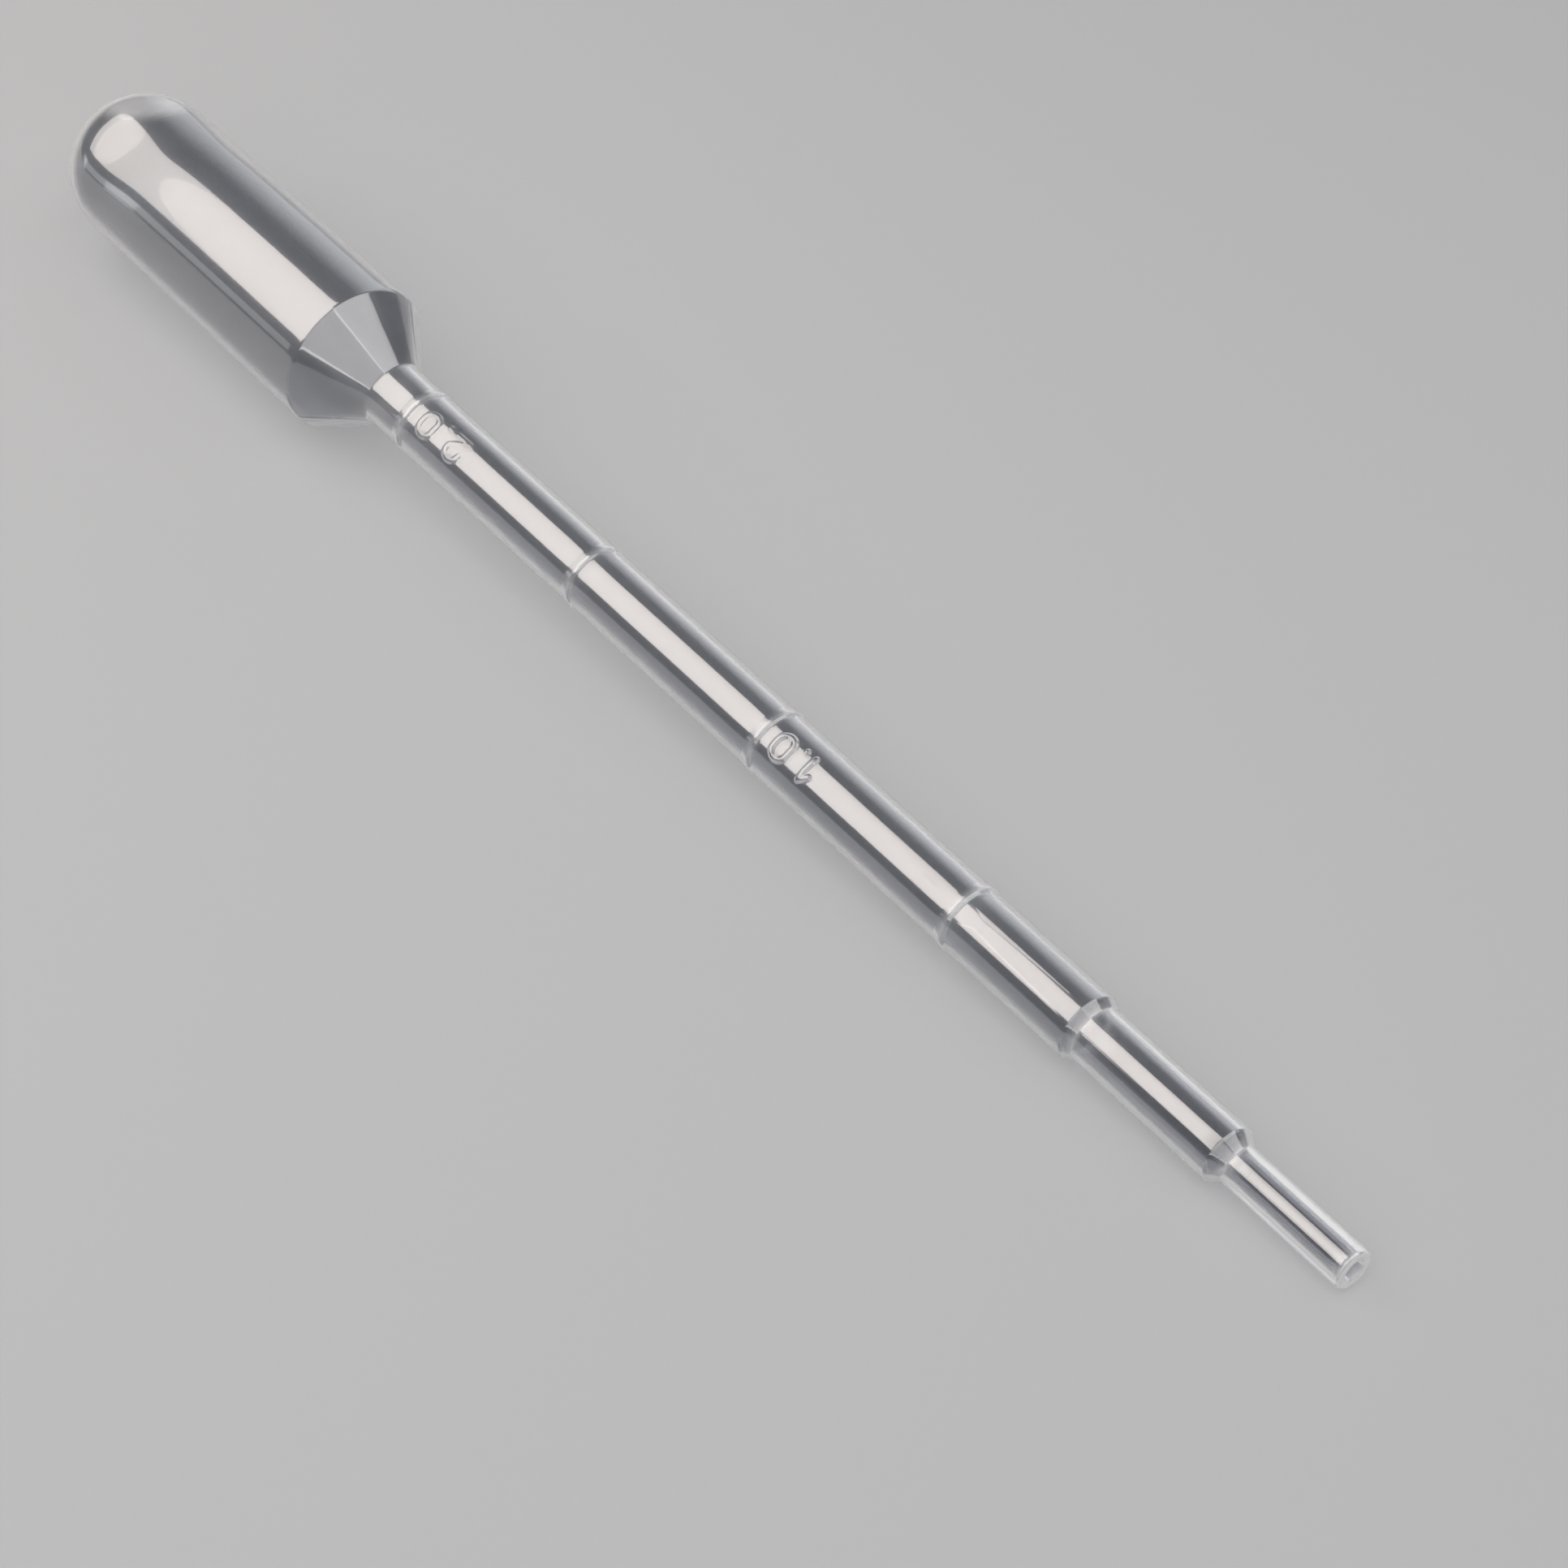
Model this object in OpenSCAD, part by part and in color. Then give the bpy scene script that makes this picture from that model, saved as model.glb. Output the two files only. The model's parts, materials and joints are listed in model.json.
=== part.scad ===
// Graduated dropper pipette: bulb, stem and stepped tip blown as one thin shell
// of soft, milky clear polyethylene, open only at the tip.
//
// It lies on its side, as it comes to rest on a bench: on the edge of the bulb's
// shoulder, and on the lowest edge further down the stem. The bulb is towards -X,
// the tip towards +X and a little downhill. Z = 0 is the bench.
//
// Lengths along the pipette are counted from the top of the bulb's dome.

/* [Overall] */
// Whole length, from the top of the dome to the open tip
total_len = 160; // [130:1:200]

/* [Bulb] */
// Outer diameter of the bulb
bulb_d = 13.6; // [10:0.1:18]
// Length of the bulb, from the top of its dome to the edge of its shoulder
bulb_len = 38; // [28:0.5:48]
// Length of the cone between the bulb and the neck
shoulder_len = 5.7; // [3.5:0.1:9]
// Rounding of the shoulder's outer edge
shoulder_round = 0.6; // [0.3:0.05:1.2]
// Rounding in the angle between the shoulder and the stem
neck_round = 0.8; // [0.3:0.05:1.5]
// Thickness of the bulb's wall
bulb_wall = 0.3; // [0.2:0.01:0.5]

/* [Stem] */
// Outer diameter of the stem, from the neck to the first step
stem_d = 5.8; // [5.2:0.1:8]
// Thickness of the stem's wall
stem_wall = 0.4; // [0.25:0.01:0.7]

/* [Tip] */
// How far the first step narrows the radius
first_step = 0.45; // [0.25:0.05:0.8]
// Thickness of the wall between the two steps
mid_wall = 0.55; // [0.3:0.01:0.7]
// Length from the first step to the second
mid_len = 15.3; // [8:0.1:24]
// How far the second step narrows the radius
second_step = 0.75; // [0.4:0.05:0.95]
// Thickness of the tip's wall
tip_wall = 0.8; // [0.4:0.01:1]
// Length from the second step to the open end
tip_len = 13.3; // [8:0.1:24]
// Length of the slope at the first step
first_slope = 0.6; // [0.4:0.05:1.5]
// Length of the slope at the second step
second_slope = 1.1; // [0.6:0.05:2]
// Rounding of the steps' edges and angles
step_round = 0.4; // [0.15:0.05:0.5]

/* [Graduation] */
// Raised rings round the stem
ring_count = 4; // [2:1:5]
// Plain stretch between the neck and the top ring
ring_top_gap = 4.6; // [2:0.1:10]
// Plain stretch between the lowest ring and the first step
ring_low_gap = 13.5; // [8:0.1:25]
// Width of a ring at its foot
ring_w = 1; // [0.6:0.05:1.4]
// How far a ring stands off the stem
ring_raise = 0.18; // [0.1:0.01:0.3]

/* [Numbers] */
// Height of the numbers, across the stem
number_h = 2.6; // [2:0.1:3.2]
// Width of one digit
digit_w = 2; // [1.4:0.1:2.4]
// Space between two characters
digit_gap = 0.6; // [0.4:0.05:1]
// Width of a stroke
stroke_w = 0.45; // [0.3:0.05:0.55]
// How far the numbers stand off the stem
number_raise = 0.14; // [0.08:0.01:0.25]
// Plain stretch between a ring and its number
number_gap = 0.9; // [0.5:0.1:2]
// Turn of the numbers about the pipette's axis, from straight up
number_turn = 30; // [-90:5:90]

/* [Hidden] */
$fn = 96;

// Each section's outer radius
bulb_r = bulb_d / 2;
stem_r = stem_d / 2;
mid_r = stem_r - first_step;
tip_r = mid_r - second_step;

// Places along the pipette
dome_at = bulb_r;
neck_at = bulb_len + shoulder_len;
second_at = total_len - tip_len;
first_at = second_at - mid_len;
top_ring_at = neck_at + ring_top_gap;
low_ring_at = first_at - ring_low_gap;
ring_pitch = (low_ring_at - top_ring_at) / (ring_count - 1);

// How steeply each slope falls from the larger section to the smaller
shoulder_slope = atan((bulb_r - stem_r) / shoulder_len);
first_step_slope = atan(first_step / first_slope);
second_step_slope = atan(second_step / second_slope);

// A ring's section is the top of a circle
ring_arc_r = (pow(ring_w / 2, 2) + pow(ring_raise, 2)) / (2 * ring_raise);

// Walls of the four sections, and none for the outer skin
walls = [bulb_wall, stem_wall, mid_wall, tip_wall];
skin = [0, 0, 0, 0];
min_round = 0.05;   // least rounding left inside a wall
cut = 1;            // how far the hollow runs past the open end

// Where the pipette may touch the bench below its stem, each as
// [place along the pipette, distance from the axis, rounding]
rests = [
    edge(first_at, stem_r, first_step_slope, step_round),
    edge(second_at, mid_r, second_step_slope, step_round),
    [low_ring_at, stem_r + ring_raise - ring_arc_r, ring_arc_r],
    [total_len, tip_r, 0]
];
heel = edge(bulb_len, bulb_r, shoulder_slope, shoulder_round);

// The stem comes down until the first of them meets the bench
lie = min([for (rest = rests) lie_on(rest)]);
axis_h = heel[2] + heel[1] * cos(lie) + heel[0] * sin(lie);
low_x = bulb_r * (cos(lie) - 1);
high_x = total_len * cos(lie) + tip_r * sin(lie);

// Centre and radius of the arc that rounds a section's edge
function edge(at, r, slope, round) = [at - round * tan(slope / 2), r - round, round];

// Slope of the line that touches both the heel's arc and the rest's arc
function lie_on(rest) =
    atan((heel[1] - rest[1]) / (rest[0] - heel[0]))
    + asin((heel[2] - rest[2]) / norm([rest[0] - heel[0], heel[1] - rest[1]]));

// A wall's inner corner lies this far back from the outer one
function inset(at, slope, wall) = at - wall * tan(slope / 2);

// The sliver between a corner and the arc that rounds it. The corner joins a
// straight run to one that falls away by slope. It is cut from an outer corner,
// and a half turn makes it the fillet that fills an inner one. It runs a little
// past the corner's two sides.
module corner_sliver(at, r, slope, turn = 0) {
    bow = tan(slope / 2);
    past = 1.2;
    translate(at)
        rotate(turn)
            translate([-r, -r * bow])
                difference() {
                    polygon(past * r * [[0, 0], [1, 0], [1, bow], [cos(slope), sin(slope)]]);
                    circle(r);
                }
}

// Half outline of the pipette with its skin moved in by the four walls
module outline(w, end) {
    bulb = [bulb_r - w[0], inset(bulb_len, shoulder_slope, w[0])];
    neck = [stem_r - w[1], inset(neck_at, shoulder_slope, w[1])];
    first = [stem_r - w[1], inset(first_at, first_step_slope, w[1])];
    first_foot = [mid_r - w[2], inset(first_at + first_slope, first_step_slope, w[2])];
    second = [mid_r - w[2], inset(second_at, second_step_slope, w[2])];
    second_foot = [tip_r - w[3], inset(second_at + second_slope, second_step_slope, w[3])];
    difference() {
        union() {
            intersection() {
                translate([0, dome_at])
                    circle(bulb[0]);
                square([bulb_d, dome_at]);
            }
            polygon([
                [0, dome_at], [bulb[0], dome_at], bulb, neck,
                first, first_foot, second, second_foot,
                [tip_r - w[3], end], [0, end]
            ]);
            corner_sliver(neck, neck_round + w[1], shoulder_slope, 180);
            corner_sliver(first_foot, step_round + w[2], first_step_slope, 180);
            corner_sliver(second_foot, step_round + w[3], second_step_slope, 180);
        }
        corner_sliver(bulb, max(shoulder_round - w[0], min_round), shoulder_slope);
        corner_sliver(first, max(step_round - w[1], min_round), first_step_slope);
        corner_sliver(second, max(step_round - w[2], min_round), second_step_slope);
    }
}

module outer_skin() {
    rotate_extrude()
        outline(skin, total_len);
}

module hollow() {
    rotate_extrude()
        outline(walls, total_len + cut);
}

// One raised graduation ring, rooted in the stem's wall
module ring() {
    rotate_extrude()
        intersection() {
            translate([stem_r + ring_raise - ring_arc_r, 0])
                circle(ring_arc_r);
            translate([stem_r - stem_wall / 2, -ring_w])
                square([stem_wall, 2 * ring_w]);
        }
}

module rings() {
    for (i = [0 : ring_count - 1])
        translate([0, 0, top_ring_at + i * ring_pitch])
            ring();
}

// The characters stand on the line y = 0 and start at x = 0
module point() {
    translate([stroke_w / 2, stroke_w / 2])
        circle(stroke_w / 2);
}

module digit_1() {
    square([stroke_w, number_h]);
    translate([-stroke_w, number_h - 2 * stroke_w])
        square([stroke_w * 1.5, stroke_w]);
}

module stadium(inset = 0) {
    r = digit_w / 2;
    for (y = [r, number_h - r])
        translate([r, y])
            circle(r - inset);
    translate([inset, r])
        square([digit_w - 2 * inset, number_h - 2 * r]);
}

module digit_0() {
    difference() {
        stadium();
        stadium(stroke_w);
    }
}

module digit_2() {
    r = digit_w / 2;
    bend = number_h - r;
    translate([r, bend])
        intersection() {
            difference() {
                circle(r);
                circle(r - stroke_w);
            }
            translate([-r, 0])
                square(digit_w);
        }
    polygon([
        [digit_w - stroke_w, bend], [digit_w, bend],
        [stroke_w * 1.5, stroke_w], [0, stroke_w / 2], [0, 0]
    ]);
    square([digit_w, stroke_w]);
}

// A number with one decimal, 0: it reads towards the bulb and ends at its ring
module number(whole) {
    first_w = whole == 1 ? stroke_w : digit_w;
    point_x = first_w + digit_gap;
    zero_x = point_x + stroke_w + digit_gap;
    translate([-zero_x - digit_w, -number_h / 2]) {
        if (whole == 1)
            digit_1();
        else
            digit_2();
        translate([point_x, 0])
            point();
        translate([zero_x, 0])
            digit_0();
    }
}

// A number raised on the stem, after the ring at the given place
module raised_number(whole, ring_at) {
    top_r = stem_r + number_raise;
    start = ring_at + ring_w / 2 + number_gap;
    intersection() {
        translate([0, 0, start])
            rotate([0, 90, 180 + number_turn])
                linear_extrude(height = 2 * stem_r)
                    number(whole);
        translate([0, 0, ring_at])
            difference() {
                cylinder(h = ring_pitch, r = top_r);
                translate([0, 0, -cut])
                    cylinder(h = ring_pitch + 2 * cut, r = stem_r - stem_wall / 2);
            }
    }
}

// Two rings to the unit: every second ring, counted from the tip, has a number
module numbers() {
    for (whole = [1 : floor(ring_count / 2)])
        raised_number(whole, low_ring_at - (2 * whole - 1) * ring_pitch);
}

module pipette() {
    color([0.86, 0.88, 0.9, 0.6])
        translate([-(low_x + high_x) / 2, 0, axis_h])
            rotate([0, 90 + lie, 0])
                difference() {
                    union() {
                        outer_skin();
                        rings();
                        numbers();
                    }
                    hollow();
                }
}

pipette();
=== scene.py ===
# A graduated dropper pipette on a bench: one thin shell of soft, milky clear
# polyethylene, blown in one piece and open only at its tip.
import json
from math import atan, atan2, cos, dist, exp, pi, radians, sin, tan

import bpy
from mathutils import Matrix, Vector


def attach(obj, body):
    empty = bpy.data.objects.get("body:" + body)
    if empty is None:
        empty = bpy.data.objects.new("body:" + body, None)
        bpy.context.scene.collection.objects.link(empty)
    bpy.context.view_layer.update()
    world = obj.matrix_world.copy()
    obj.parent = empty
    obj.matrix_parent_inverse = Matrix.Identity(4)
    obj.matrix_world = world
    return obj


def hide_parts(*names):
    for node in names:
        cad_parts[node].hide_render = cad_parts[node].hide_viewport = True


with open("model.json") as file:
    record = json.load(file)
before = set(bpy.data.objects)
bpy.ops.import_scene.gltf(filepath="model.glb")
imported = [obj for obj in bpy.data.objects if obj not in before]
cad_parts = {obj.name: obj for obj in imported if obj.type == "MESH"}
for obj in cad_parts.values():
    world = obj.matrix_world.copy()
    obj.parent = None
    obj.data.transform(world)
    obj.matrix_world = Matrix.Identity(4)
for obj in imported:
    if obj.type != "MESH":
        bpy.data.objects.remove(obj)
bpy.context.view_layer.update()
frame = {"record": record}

# ---------------------------------------------------------------- the pipette
# One tube of low-density polyethylene, blown between the two halves of a mould:
# bulb, stem and tip are one wall, thin at the bulb and thick at the cut tip. The
# mould leaves four raised rings, two numbers and a fine seam on both sides.

total_len = 0.160
bulb_r = 0.0068
bulb_len = 0.038
neck_at = 0.0437
stem_r = 0.0029
first_at = 0.1314
first_foot_at = 0.1322
mid_r = 0.00245
second_at = 0.1467
second_foot_at = 0.1478
tip_r = 0.0017

bulb_wall = 0.0003
stem_wall = 0.0004
mid_wall = 0.00055
tip_wall = 0.0008

ring_at = [0.0483, 0.0715, 0.0947, 0.1179]
ring_raise = 0.00015
ring_up = 0.0008
ring_down = 0.00042

shoulder_slope = atan((bulb_r - stem_r) / (neck_at - bulb_len))
first_slope = atan((stem_r - mid_r) / (first_foot_at - first_at))
second_slope = atan((mid_r - tip_r) / (second_foot_at - second_at))

# How close two places are when they count as one, loosely and strictly
same_place = 0.00001
hair = 0.000001


def back(at, slope, wall):
    """Where a wall's inner corner lies, behind the outer one."""
    return at - wall * tan(slope / 2)


def pick(piece, kind, test):
    """Selects the vertices, edges or faces that pass, and leaves the piece in edit mode."""
    bpy.ops.object.mode_set(mode="EDIT")
    bpy.ops.mesh.select_mode(type=kind)
    bpy.ops.mesh.select_all(action="DESELECT")
    bpy.ops.object.mode_set(mode="OBJECT")
    mesh = piece.data
    for part in {"VERT": mesh.vertices, "EDGE": mesh.edges, "FACE": mesh.polygons}[kind]:
        part.select = test(part)
    bpy.ops.object.mode_set(mode="EDIT")


# Half of its section, drawn beside the X axis from the outside of the dome's top
# to the mouth, and back along the inside: each corner is [station, radius]. There is
# one more just past each step and before the mouth, for its milkiness to end at
past_foot = 0.0005
outside = [[0, 0], [0, bulb_r], [bulb_len, bulb_r], [neck_at, stem_r]]
for at in ring_at:
    outside += [[at - ring_up, stem_r], [at, stem_r + ring_raise], [at + ring_down, stem_r]]
outside += [[first_at, stem_r], [first_foot_at, mid_r], [first_foot_at + past_foot, mid_r]]
outside += [[second_at, mid_r], [second_foot_at, tip_r], [second_foot_at + past_foot, tip_r]]
outside += [[total_len - past_foot, tip_r], [total_len, tip_r]]
inside = [
    [total_len, tip_r - tip_wall],
    [back(second_foot_at, second_slope, tip_wall), tip_r - tip_wall],
    [back(second_at, second_slope, mid_wall), mid_r - mid_wall],
    [back(first_foot_at, first_slope, mid_wall), mid_r - mid_wall],
    [back(first_at, first_slope, stem_wall), stem_r - stem_wall],
    [back(neck_at, shoulder_slope, stem_wall), stem_r - stem_wall],
    [back(bulb_len, shoulder_slope, bulb_wall), bulb_r - bulb_wall],
    [bulb_wall, bulb_r - bulb_wall],
    [bulb_wall, 0]
]

bpy.ops.object.select_all(action="DESELECT")
bpy.ops.mesh.primitive_plane_add(size=bulb_r)
pipette = bpy.context.object
pipette.name = "blown_pipette"
bpy.ops.object.mode_set(mode="EDIT")
bpy.ops.mesh.merge(type="CENTER")
corner = outside[0]
for next_corner in outside[1:] + inside:
    step = (next_corner[0] - corner[0], 0, next_corner[1] - corner[1])
    bpy.ops.mesh.extrude_region_move(TRANSFORM_OT_translate={"value": step})
    corner = next_corner


def soften(at, r, reach, steps):
    """Rounds one corner of the section. The rounding reaches that far along both sides."""
    pick(pipette, "VERT", lambda v: dist(v.co, (at, 0, r)) < same_place)
    bpy.ops.mesh.bevel(affect="VERTICES", offset=reach, segments=steps)


# How far a rounding of radius 1 reaches along the sides of each slope's corners
shoulder_reach = tan(shoulder_slope / 2)
first_reach = tan(first_slope / 2)
second_reach = tan(second_slope / 2)

# In the angle at a slope's foot the rounding inside is a wall's thickness larger, and
# on the edge at its top only a trace of the rounding is left inside
shoulder_round = 0.0009
neck_round = 0.0008
crest_reach = 0.00015
ring_foot_reach = 0.0001
step_round = 0.0004
lip_reach = 0.00022
bore_lip_reach = 0.00012
shoulder_trace = 0.0003
step_trace = 0.0002

soften(0, bulb_r, bulb_r, 28)
soften(bulb_len, bulb_r, shoulder_round * shoulder_reach, 6)
soften(neck_at, stem_r, neck_round * shoulder_reach, 5)
for at in ring_at:
    soften(at, stem_r + ring_raise, crest_reach, 4)
    soften(at - ring_up, stem_r, ring_foot_reach, 2)
    soften(at + ring_down, stem_r, ring_foot_reach, 2)
soften(first_at, stem_r, step_round * first_reach, 4)
soften(first_foot_at, mid_r, step_round * first_reach, 4)
soften(second_at, mid_r, step_round * second_reach, 4)
soften(second_foot_at, tip_r, step_round * second_reach, 4)
soften(total_len, tip_r, lip_reach, 5)
soften(total_len, tip_r - tip_wall, bore_lip_reach, 4)
soften(*inside[1], (step_round + tip_wall) * second_reach, 5)
soften(*inside[2], step_trace * second_reach, 3)
soften(*inside[3], (step_round + mid_wall) * first_reach, 5)
soften(*inside[4], step_trace * first_reach, 3)
soften(*inside[5], (neck_round + stem_wall) * shoulder_reach, 5)
soften(*inside[6], shoulder_trace * shoulder_reach, 4)
soften(*inside[7], bulb_r - bulb_wall, 28)


def divide(low, high, r, pieces):
    """Divides the edges of the section that lie at that radius between two stations."""
    def on_run(edge):
        ends = [pipette.data.vertices[i].co for i in edge.vertices]
        return all(low - hair < co.x < high + hair and abs(co.z - r) < hair for co in ends)
    pick(pipette, "EDGE", on_run)
    bpy.ops.mesh.subdivide(number_cuts=pieces - 1)


# The long runs are divided, so that the wall can be a little uneven, and twice where
# a number stands
number_run = 0.009
divide(bulb_r, bulb_len, bulb_r, 40)
divide(bulb_r, bulb_len, bulb_r - bulb_wall, 30)
divide(neck_at, ring_at[0], stem_r, 4)
for i in range(3):
    divide(ring_at[i], ring_at[i + 1], stem_r, 12)
divide(ring_at[0], ring_at[0] + number_run, stem_r, 18)
divide(ring_at[2], ring_at[2] + number_run, stem_r, 18)
divide(ring_at[3], first_at, stem_r, 8)
divide(neck_at, first_at, stem_r - stem_wall, 40)
divide(first_foot_at + past_foot, second_at, mid_r, 10)
divide(first_foot_at, second_at, mid_r - mid_wall, 8)
divide(second_foot_at + past_foot, total_len - past_foot, tip_r, 9)
divide(second_foot_at, total_len, tip_r - tip_wall, 8)

# The section is spun into the whole wall
pick(pipette, "VERT", lambda v: True)
bpy.ops.mesh.spin(steps=192, angle=2 * pi, center=(0, 0, 0), axis=(1, 0, 0))
bpy.ops.mesh.select_all(action="SELECT")
bpy.ops.mesh.remove_doubles(threshold=hair)
bpy.ops.mesh.normals_make_consistent(inside=False)
bpy.ops.object.mode_set(mode="OBJECT")
bpy.ops.object.shade_smooth()

# The numbers' strokes, as the middle lines of grooves cut in the mould. A character
# stands on y = 0 and starts at x = 0
number_h = 0.0026
digit_w = 0.002
digit_gap = 0.0006
stroke_w = 0.00045
soft_edge = 0.00009
number_raise = 0.00014
number_gap = 0.0014
facing = radians(30)


def arc(x, y, r, start, end):
    """Points round part of a circle, from one angle to another in degrees."""
    turns = [radians(start + (end - start) * i / 12) for i in range(13)]
    return [(x + r * cos(turn), y + r * sin(turn)) for turn in turns]


half_w = stroke_w / 2
bend = number_h - digit_w / 2
bow = digit_w / 2 - half_w
strokes = {
    "1": [[(half_w, half_w), (half_w, number_h - half_w), (-stroke_w, number_h - 2 * stroke_w)]],
    ".": [[(half_w, half_w), (half_w, half_w * 1.01)]],
    "0": [arc(digit_w / 2, bend, bow, 0, 180) + arc(digit_w / 2, digit_w / 2, bow, 180, 360)
          + [(digit_w - half_w, bend)]],
    "2": [arc(digit_w / 2, bend, bow, 180, -20) + [(stroke_w, stroke_w), (half_w, half_w)]
          + [(digit_w - half_w, half_w)]],
}
widths = {"1": stroke_w, ".": stroke_w, "0": digit_w, "2": digit_w}


def to_stroke(x, y, line):
    """How far a point is from a stroke's middle line."""
    least = 1
    for (ax, ay), (bx, by) in zip(line, line[1:]):
        dx, dy = bx - ax, by - ay
        part = max(0, min(1, ((x - ax) * dx + (y - ay) * dy) / (dx * dx + dy * dy)))
        least = min(least, dist((x, y), (ax + part * dx, ay + part * dy)))
    return least


def ease(rise):
    """Smooths both ends of a rise from 0 to 1."""
    rise = max(0, min(1, rise))
    return rise * rise * (3 - 2 * rise)


def raise_wall(name, weight, height, texture=None):
    """Moves the wall's surface outward, by the weight from 0 to 1 that each vertex gets."""
    group = pipette.vertex_groups.new(name=name)
    for v in pipette.data.vertices:
        share = weight(v)
        if share > 0:
            group.add([v.index], share, "REPLACE")
    bpy.ops.object.modifier_add(type="DISPLACE")
    displace = pipette.modifiers[0]
    displace.vertex_group = name
    displace.strength = height
    displace.texture = texture
    displace.mid_level = 0.5 if texture else 0
    bpy.ops.object.modifier_apply(modifier=displace.name)


def in_number(v, text, ring, strength):
    """A number's share: it ends close to its ring and reads towards the bulb."""
    text_w = sum(widths[c] for c in text) + digit_gap * (len(text) - 1)
    x = ring + number_gap + text_w - v.co.x
    y = (atan2(-v.co.y, v.co.z) - facing) * stem_r + number_h / 2
    spare = 2 * stroke_w
    within = -spare < x < text_w + spare and -spare < y < number_h + spare
    outer = abs(dist((v.co.y, v.co.z), (0, 0)) - stem_r) < same_place
    if not within or not outer:
        return 0
    left, near = 0, 1
    for c in text:
        near = min(near, min(to_stroke(x - left, y, line) for line in strokes[c]))
        left += widths[c] + digit_gap
    return strength * ease((half_w + soft_edge - near) / (2 * soft_edge))


raise_wall("one", lambda v: in_number(v, "1.0", ring_at[2], 1), number_raise)
raise_wall("two", lambda v: in_number(v, "2.0", ring_at[0], 0.5), number_raise)


def outward(v):
    """How far a vertex's normal points away from the axis, or in the dome from its centre."""
    return v.normal.dot(v.co - Vector((max(v.co.x, bulb_r), 0, 0)))


def on_seam(v):
    """Whether a vertex lies where the mould's halves met, in line with the numbers' tops."""
    off_it = abs(v.co.z * cos(facing) - v.co.y * sin(facing))
    return outward(v) > hair and off_it < same_place


seam_raise = 0.00004
raise_wall("seam", on_seam, seam_raise)

# A blown wall is never quite round, least of all round the dome, and two shallow hollows
# are pressed in behind it. Both sides of the wall move together
waves = bpy.data.textures.new("waves", type="CLOUDS")
waves.noise_scale = 0.011
waves.noise_depth = 0


def wavy(v):
    """The waves' share: whole at the dome's top, and down to a tenth along the bulb."""
    past_dome = max(0, v.co.x - 0.004)
    return max(0.1, 1 - past_dome / 0.03)


def hollow(station, lean, reach):
    """The shape of a hollow, which fades out round its middle. Its middle leans from +Z to -Y."""
    def depth(v):
        across = bulb_r * (atan2(-v.co.y, v.co.z) - radians(lean))
        return exp(-((v.co.x - station) ** 2 + across ** 2) / (2 * reach ** 2))
    return depth


inner = {v.index for v in pipette.data.vertices if outward(v) < -hair}
for name, shape, height, texture in [["waves", wavy, 0.0003, waves],
                                     ["wide_hollow", hollow(0.011, -13, 0.003), -0.00025, None],
                                     ["low_hollow", hollow(0.0092, 37, 0.0024), -0.0003, None]]:
    raise_wall(name + "_out", lambda v: (v.index not in inner) * shape(v), height, texture)
    raise_wall(name + "_in", lambda v: (v.index in inner) * shape(v), -height, texture)

# The wall is milkier where it is thickest: in the rings, at the steps' feet and round the
# mouth. A pale patch on the dome's top, where it faces up, is a painted reflection of the
# light overhead, carried with the milkiness. Each thick place is [station, reach, share]
thick = [[at, 0.0007, 0.4] for at in ring_at]
thick += [[first_foot_at, past_foot, 0.6], [second_foot_at, past_foot, 0.6]]
thick += [[total_len, past_foot * 1.5, 0.8]]
dome_centre = Vector((bulb_r, 0, 0))
painted_sheen_way = Vector((-0.351, 0.251, 0.902))
painted_sheen_core = radians(26)
painted_sheen_edge = radians(42)
painted_sheen_share = 0.6


def milkiness_and_painted_sheen(v):
    """How milky the wall is, from 0 to 1, at a vertex, with the painted reflection on the dome's
    top.
    """
    from_pinch = (v.co - dome_centre).angle(painted_sheen_way)
    painted_sheen = painted_sheen_share * ease((painted_sheen_edge - from_pinch) / (painted_sheen_edge - painted_sheen_core))
    places = [share * max(0, 1 - abs(v.co.x - at) / reach) for at, reach, share in thick]
    return max(painted_sheen, *places)


# The attribute holds the wall's milkiness and the painted reflection on the dome's top
milky = pipette.data.attributes.new("milky", "FLOAT", "POINT")
for v in pipette.data.vertices:
    milky.data[v.index].value = milkiness_and_painted_sheen(v)

# It lies on its shoulder and its first step, with its mouth at the tip's mount
mouth = [m for m in frame["record"]["mounts"] if m["name"] == "tip_bore"][0]
along = Vector(mouth["axis"]).normalized()
pole = Vector(mouth["pos_m"]) - total_len * along
pipette.rotation_mode = "QUATERNION"
pipette.rotation_quaternion = along.to_track_quat("X", "Z")
pipette.location = pole
bpy.ops.object.transform_apply()

# The straight runs reflect as straight runs, and the roundings take all of the turn
bpy.ops.object.modifier_add(type="WEIGHTED_NORMAL")
pipette.modifiers[0].weight = 80
bpy.ops.object.modifier_apply(modifier=pipette.modifiers[0].name)

# Clear polyethylene: a glossy skin over a wall with a slight milky haze, which shows
# where the wall is seen edge on: a thin line on the bulb, a broad one at the thick tip
plastic = bpy.data.materials.new("clear_polyethylene")
plastic.use_nodes = True
nodes = plastic.node_tree.nodes
links = plastic.node_tree.links
shader = nodes["Principled BSDF"]
shader.inputs["IOR"].default_value = 1.51
shader.inputs["Coat Weight"].default_value = 1
shader.inputs["Subsurface Weight"].default_value = 1
shader.inputs["Subsurface Radius"].default_value = (1, 1, 1)
shader.inputs["Subsurface Scale"].default_value = 0.001
shader.inputs["Coat Roughness"].default_value = 0.05
shader.inputs["Coat IOR"].default_value = 2

place = nodes.new("ShaderNodeTexCoord")
split = nodes.new("ShaderNodeSeparateXYZ")
links.new(place.outputs["Object"], split.inputs["Vector"])


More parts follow.
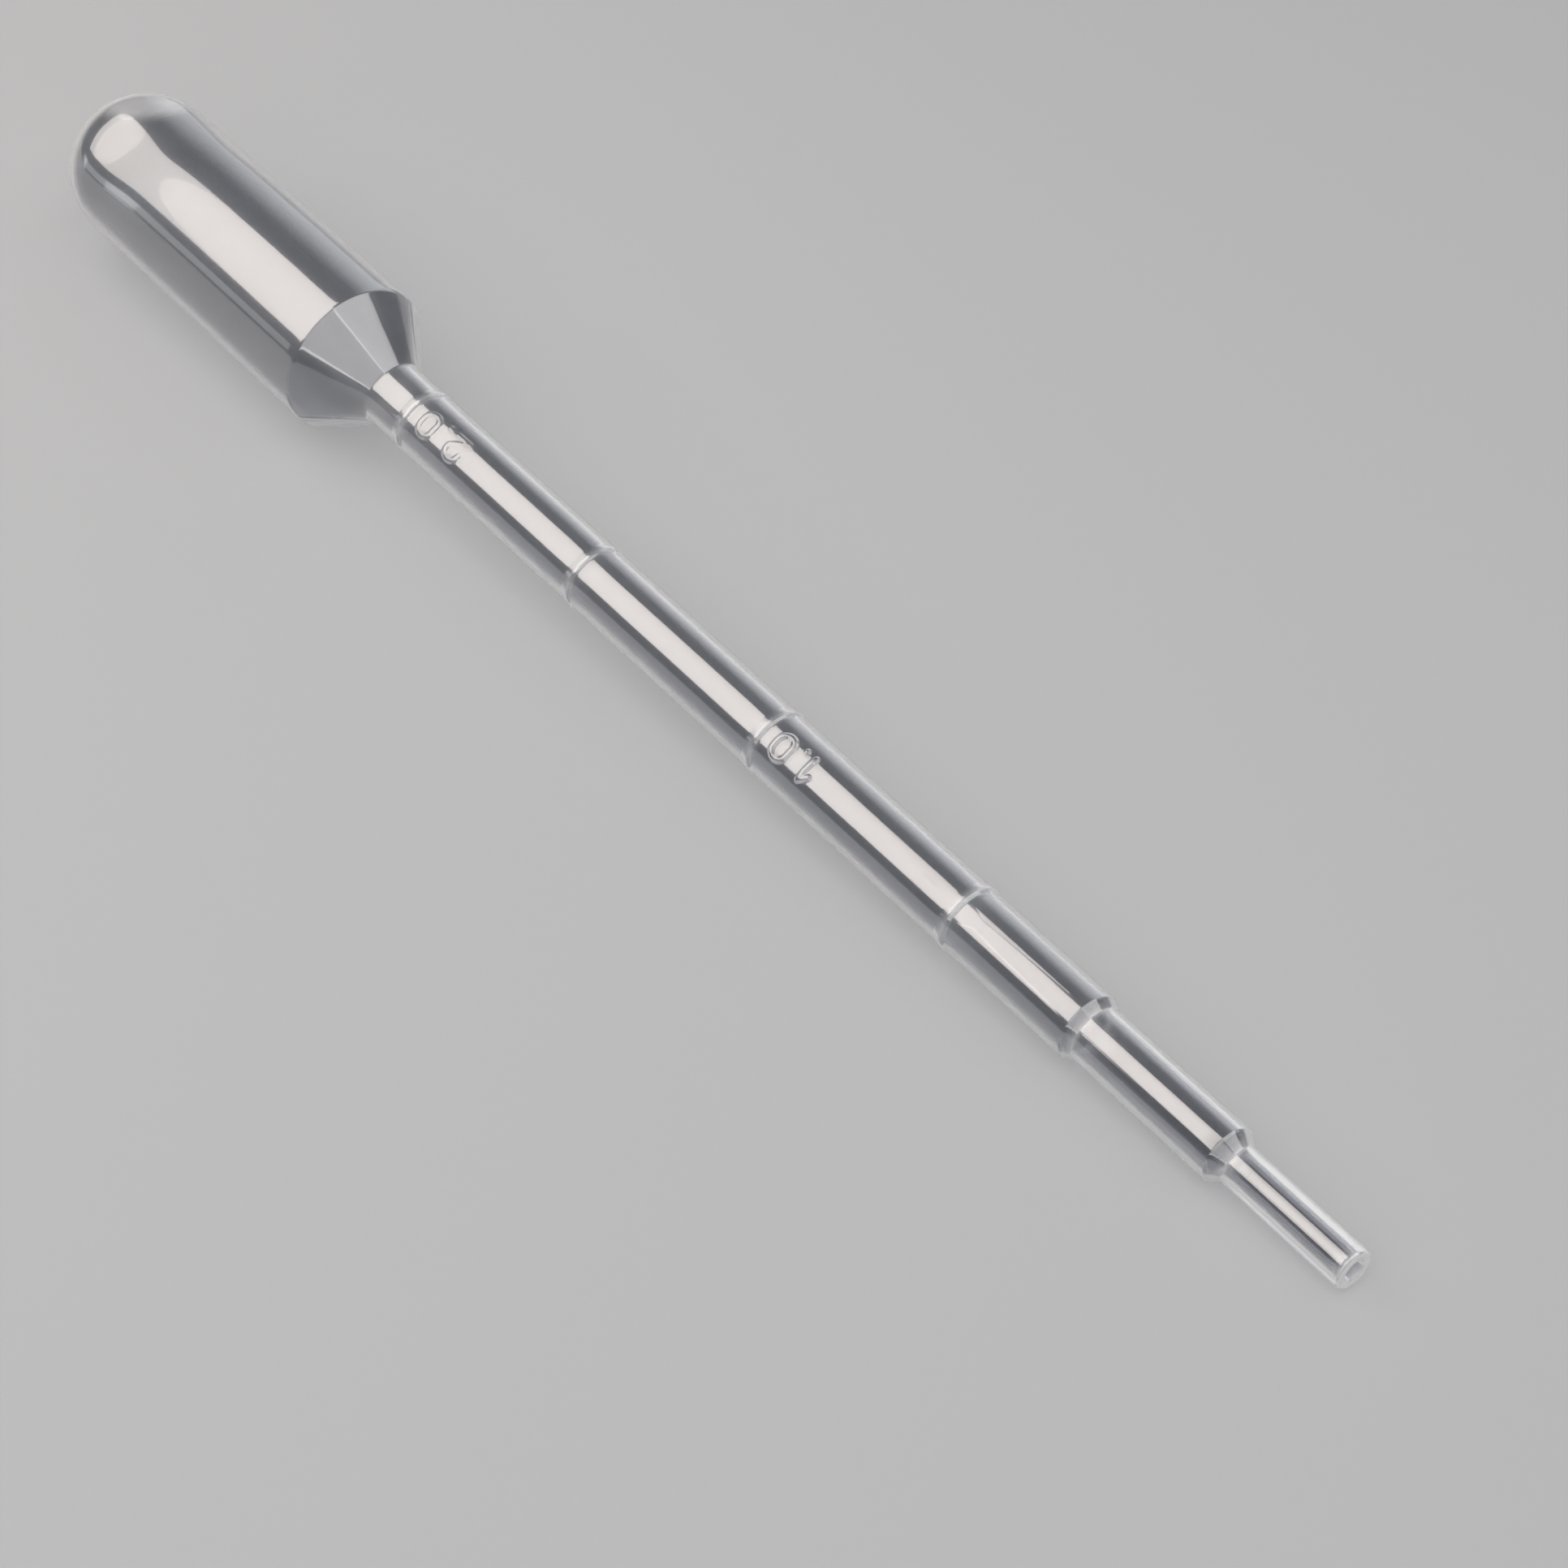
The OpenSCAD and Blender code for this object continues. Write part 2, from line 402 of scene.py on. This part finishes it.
def along_it(steps):
    """A number that changes along the pipette: (x, value) pairs, from the dome on."""
    scale = nodes.new("ShaderNodeMapRange")
    scale.inputs["From Min"].default_value = -total_len / 2
    scale.inputs["From Max"].default_value = total_len / 2
    links.new(split.outputs["X"], scale.inputs["Value"])
    ramp = nodes.new("ShaderNodeValToRGB")
    stops = ramp.color_ramp.elements
    for x, value in steps:
        stop = stops.new(x / total_len + 0.5)
        stop.color = (value, value, value, 1)
    stops.remove(stops[0])
    stops.remove(stops[-1])
    links.new(scale.outputs["Result"], ramp.inputs["Fac"])
    return ramp.outputs["Color"]


edge_on = nodes.new("ShaderNodeLayerWeight")
edge_on.inputs["Blend"].default_value = 0.5
haze = nodes.new("ShaderNodeMapRange")
haze.interpolation_type = "SMOOTHSTEP"
links.new(edge_on.outputs["Facing"], haze.inputs["Value"])
# The haze changes at the dome, the shoulder, the first step and the second: two places
# stand here for each, where its change starts and where it ends
changes = [-0.077, -0.071, -0.043, -0.037, 0.051, 0.053, 0.066, 0.069]
haze_starts = [0.4, 0.6, 0.6, 0.42, 0.4, 0.35, 0.35, 0.27]
haze_full = [0.74, 0.8, 0.8, 0.66, 0.64, 0.56, 0.54, 0.38]
links.new(along_it(zip(changes, haze_starts)), haze.inputs["From Min"])
links.new(along_it(zip(changes, haze_full)), haze.inputs["From Max"])
# It reads the milkiness together with the painted reflection on the dome's top
thickness_and_sheen = nodes.new("ShaderNodeAttribute")
thickness_and_sheen.attribute_name = "milky"
whitest = nodes.new("ShaderNodeMath")
whitest.operation = "MAXIMUM"
links.new(haze.outputs["Result"], whitest.inputs[0])
links.new(thickness_and_sheen.outputs["Fac"], whitest.inputs[1])
colour = nodes.new("ShaderNodeMix")
colour.data_type = "RGBA"
colour.inputs["A"].default_value = (0.465, 0.48, 0.515, 1)
colour.inputs["B"].default_value = (0.88, 0.89, 0.91, 1)
links.new(whitest.outputs["Value"], colour.inputs["Factor"])
links.new(colour.outputs["Result"], shader.inputs["Base Color"])
clearness = nodes.new("ShaderNodeMapRange")
clearness.inputs["To Min"].default_value = 0.97
clearness.inputs["To Max"].default_value = 0.45
links.new(whitest.outputs["Value"], clearness.inputs["Value"])
links.new(clearness.outputs["Result"], shader.inputs["Transmission Weight"])

# Its surface is a little uneven too, drawn out lengthwise
drawn_out = nodes.new("ShaderNodeMapping")
drawn_out.inputs["Scale"].default_value = (60, 300, 300)
links.new(place.outputs["Object"], drawn_out.inputs["Vector"])
ripple = nodes.new("ShaderNodeTexNoise")
ripple.inputs["Scale"].default_value = 1
ripple.inputs["Detail"].default_value = 2
links.new(drawn_out.outputs["Vector"], ripple.inputs["Vector"])
bump = nodes.new("ShaderNodeBump")
bump.inputs["Strength"].default_value = 0.4
bump.inputs["Distance"].default_value = 0.00004
links.new(ripple.outputs["Fac"], bump.inputs["Height"])
links.new(bump.outputs["Normal"], shader.inputs["Normal"])
links.new(bump.outputs["Normal"], shader.inputs["Coat Normal"])
smudge = nodes.new("ShaderNodeMath")
smudge.operation = "MULTIPLY_ADD"
smudge.inputs[1].default_value = 0.06
links.new(ripple.outputs["Fac"], smudge.inputs[0])
links.new(along_it([(-0.043, 0.17), (0.051, 0.15), (0.069, 0.06)]), smudge.inputs[2])
links.new(smudge.outputs["Value"], shader.inputs["Roughness"])

light_path = nodes.new("ShaderNodeLightPath")
clear = nodes.new("ShaderNodeBsdfTransparent")
clear.inputs["Color"].default_value = (0.9, 0.9, 0.9, 1)
let_light_by = nodes.new("ShaderNodeMixShader")
links.new(light_path.outputs["Is Shadow Ray"], let_light_by.inputs["Fac"])
links.new(shader.outputs["BSDF"], let_light_by.inputs[1])
links.new(clear.outputs["BSDF"], let_light_by.inputs[2])
links.new(let_light_by.outputs["Shader"], nodes["Material Output"].inputs["Surface"])
pipette.data.materials.append(plastic)

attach(pipette, "root")
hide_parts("pipette")

# ------------------------------------------------------------------ the floor
# A plain pale tabletop, wide enough to fill every view. The lamps light its middle, and
# farther off it stays as pale.

bpy.ops.object.select_all(action="DESELECT")
bpy.ops.mesh.primitive_plane_add(size=12)
floor = bpy.context.object
floor.name = "tabletop"
paint = bpy.data.materials.new("matt_grey")
paint.use_nodes = True
paint.cycles.emission_sampling = "NONE"
paint_nodes = paint.node_tree.nodes
paint_links = paint.node_tree.links
matt = paint_nodes["Principled BSDF"]
matt.inputs["Base Color"].default_value = (0.425, 0.44, 0.46, 1)
matt.inputs["Roughness"].default_value = 0.9
spot = paint_nodes.new("ShaderNodeTexCoord")
from_middle = paint_nodes.new("ShaderNodeVectorMath")
from_middle.operation = "LENGTH"
paint_links.new(spot.outputs["Object"], from_middle.inputs[0])
far_off = paint_nodes.new("ShaderNodeMapRange")
far_off.interpolation_type = "SMOOTHSTEP"
far_off.inputs["From Min"].default_value = 0.2
far_off.inputs["From Max"].default_value = 0.65
paint_links.new(from_middle.outputs["Value"], far_off.inputs["Value"])
floor_path = paint_nodes.new("ShaderNodeLightPath")
seen = paint_nodes.new("ShaderNodeMath")
seen.operation = "SUBTRACT"
seen.use_clamp = True
paint_links.new(far_off.outputs["Result"], seen.inputs[0])
paint_links.new(floor_path.outputs["Is Diffuse Ray"], seen.inputs[1])
glow = paint_nodes.new("ShaderNodeEmission")
glow.inputs["Color"].default_value = (0.47, 0.475, 0.48, 1)
even = paint_nodes.new("ShaderNodeMixShader")
paint_links.new(seen.outputs["Value"], even.inputs["Fac"])
paint_links.new(matt.outputs["BSDF"], even.inputs[1])
paint_links.new(glow.outputs["Emission"], even.inputs[2])
paint_links.new(even.outputs["Shader"], paint_nodes["Material Output"].inputs["Surface"])
floor.data.materials.append(paint)

# ----------------------------------------------------------------- the lights
# A dim plain room with one window behind the bulb, and a soft box and pale cards round
# the pipette.

room = bpy.context.scene.world or bpy.data.worlds.new("room")
bpy.context.scene.world = room
room.use_nodes = True
room_nodes = room.node_tree.nodes
room_links = room.node_tree.links
way = room_nodes.new("ShaderNodeTexCoord")
split_way = room_nodes.new("ShaderNodeSeparateXYZ")
room_links.new(way.outputs["Generated"], split_way.inputs["Vector"])


def towards(axis, start, end):
    """Rises from 0 to 1 between two values of one part of the direction."""
    rise = room_nodes.new("ShaderNodeMapRange")
    rise.interpolation_type = "SMOOTHSTEP"
    rise.inputs["From Min"].default_value = start
    rise.inputs["From Max"].default_value = end
    room_links.new(split_way.outputs[axis], rise.inputs["Value"])
    return rise.outputs["Result"]


window = room_nodes.new("ShaderNodeMath")
window.operation = "MULTIPLY"
room_links.new(towards("Y", 0.45, 0.85), window.inputs[0])
room_links.new(towards("X", 0, -0.3), window.inputs[1])
brightness = room_nodes.new("ShaderNodeMath")
brightness.operation = "ADD"
brightness.inputs[1].default_value = 0.1
room_links.new(window.outputs["Value"], brightness.inputs[0])
room_links.new(brightness.outputs["Value"], room_nodes["Background"].inputs["Strength"])
room_nodes["Background"].inputs["Color"].default_value = (0.97, 0.98, 1, 1)


def soft_box(name, station, lean, away, long, wide, radiance, colour):
    """A rectangular lamp beside the pipette, away from its axis and facing it, at a station
    along it. It leans lean degrees from straight above the pipette towards -Y."""
    out = Vector((0, -sin(radians(lean)), cos(radians(lean))))
    bpy.ops.object.light_add(type="AREA", location=station * Vector((1, 0, 0)) + away * out)
    lamp = bpy.context.object
    lamp.name = name
    lamp.rotation_euler = (radians(lean), 0, 0)
    lamp.data.shape = "RECTANGLE"
    lamp.data.size = long
    lamp.data.size_y = wide
    lamp.data.energy = radiance * pi * wide * long
    lamp.data.color = colour


warm = (1, 0.925, 0.86)
white = (1, 1, 1)

# After its name come a lamp's station, lean, distance, length, width, brightness and colour
soft_box("key_soft_box", -0.309, 27, 0.4, 0.268, 0.56, 2.85, warm)
soft_box("key_far_end", -0.5465, 27, 0.4, 0.207, 0.56, 2.1, (1, 0.94, 0.88))
soft_box("key_near_end", -0.1175, 29, 0.4, 0.115, 0.41, 2.85, warm)
soft_box("fill_card", 0.22, 35.5, 0.42, 0.46, 0.577, 1.1, (1, 0.96, 0.92))
soft_box("side_card", 0.2, -22.5, 0.42, 0.46, 0.41, 1.7, (1, 0.98, 0.96))
soft_box("card_edge", 0.22, 69, 0.42, 0.46, 0.03, 1.6, white)
soft_box("low_strip", -0.506, 80.5, 0.4, 0.288, 0.07, 0.7, white)
soft_box("low_card", -0.5, 86, 0.39, 0.1, 0.15, 0.8, white)

# ----------------------------------------------------------------- the camera
# It looks down on the pipette from beyond its tip, through a long lens, and takes in its
# whole length.

turn, height, away = radians(51.359), radians(44.192), 0.38252
aim = Vector((0.015532, 0, 0.000891))
stand = aim + away * Vector((sin(turn) * cos(height), -cos(turn) * cos(height), sin(height)))
bpy.ops.object.camera_add(location=stand)
camera = bpy.context.object
camera.rotation_mode = "QUATERNION"
camera.rotation_quaternion = (stand - aim).to_track_quat("Z", "Y")
camera.data.sensor_width = 36
camera.data.lens = 112.73
bpy.context.scene.camera = camera
bpy.context.scene.view_settings.view_transform = "Standard"
